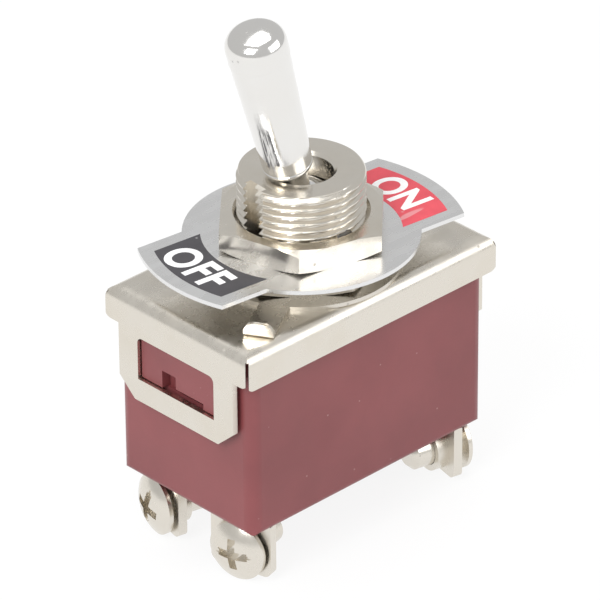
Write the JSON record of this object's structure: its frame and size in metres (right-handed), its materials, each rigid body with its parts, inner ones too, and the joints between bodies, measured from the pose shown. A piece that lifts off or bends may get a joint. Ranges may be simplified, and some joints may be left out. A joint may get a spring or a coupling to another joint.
{
  "type": "panel toggle switch",
  "caption": "Panel toggle switch: a maroon box under a plated cover, a threaded bushing with nuts and an ON-OFF plate, a tilting bat lever, and screw terminals below.",
  "frame": {"origin": "on the bushing's axis, at the cover's top face", "axes": "+Z along the bushing, out of the panel; +X towards ON, along the lever's swing; +Y across both poles"},
  "size_m": [0.0316, 0.0218, 0.0516],
  "materials": {
    "phenolic": "moulded maroon phenolic, satin",
    "cover_sheet": "nickel plated, satin",
    "bushing_metal": "nickel plated, threaded",
    "washer_metal": "nickel plated",
    "nut_metal": "nickel plated",
    "plate_aluminium": "bright, with printed fields",
    "lever_plating": "bright nickel plated",
    "actuator_plastic": "moulded, dull",
    "plunger_brass": "plain",
    "spring_steel": "plain",
    "contact_copper": "plain copper alloy",
    "contact_silver": "plain silver",
    "terminal_plating": "nickel plated",
    "screw_plating": "nickel plated"
  },
  "bodies": {
    "switch_body": {"housing": "phenolic", "cover": "cover_sheet", "bushing": "bushing_metal", "pivot_pin": "spring_steel", "locating_washer": "washer_metal", "lower_nut": "nut_metal", "indicator_plate": "plate_aluminium", "upper_nut": "nut_metal", "fixed_terminal_front": "terminal_plating", "fixed_terminal_rear": "terminal_plating", "fixed_contact_front": "contact_silver", "fixed_contact_rear": "contact_silver", "common_terminal_front": "terminal_plating", "common_terminal_rear": "terminal_plating", "terminal_screws": "screw_plating"},
    "toggle": {"lever": "lever_plating", "actuator": "actuator_plastic", "plunger_spring_front": "spring_steel", "plunger_spring_rear": "spring_steel"},
    "front_plunger": {"plunger_front": "plunger_brass"},
    "rear_plunger": {"plunger_rear": "plunger_brass"},
    "front_rocker": {"rocker_front": "contact_copper", "rocker_contact_front": "contact_silver"},
    "rear_rocker": {"rocker_rear": "contact_copper", "rocker_contact_rear": "contact_silver"}
  },
  "joints": [
    {"name": "lever_tilt", "type": "hinge", "parent": "switch_body", "child": "toggle", "pos_m": [0, 0, 0.0046], "axis": [0, 1, 0], "range_deg": [0, 31]},
    {"name": "front_rocker_tilt", "type": "hinge", "parent": "switch_body", "child": "front_rocker", "pos_m": [0, -0.0041, -0.0119], "axis": [0, 1, 0], "range_deg": [-16, 0]},
    {"name": "rear_rocker_tilt", "type": "hinge", "parent": "switch_body", "child": "rear_rocker", "pos_m": [0, 0.0041, -0.0119], "axis": [0, 1, 0], "range_deg": [-16, 0]},
    {"name": "front_plunger_slide", "type": "slide", "parent": "toggle", "child": "front_plunger", "axis": [-0.2672, 0, 0.9636], "range_m": [0, 0.001], "stiffness_N_per_m": 500, "springref_m": -0.0005, "deforming": ["plunger_spring_front"]},
    {"name": "rear_plunger_slide", "type": "slide", "parent": "toggle", "child": "rear_plunger", "axis": [-0.2672, 0, 0.9636], "range_m": [0, 0.001], "stiffness_N_per_m": 500, "springref_m": -0.0005, "deforming": ["plunger_spring_rear"]}
  ],
  "couplings": [
    {"joint": "front_rocker_tilt", "follows": "lever_tilt", "ratio": -0.51613},
    {"joint": "rear_rocker_tilt", "follows": "lever_tilt", "ratio": -0.51613}
  ]
}
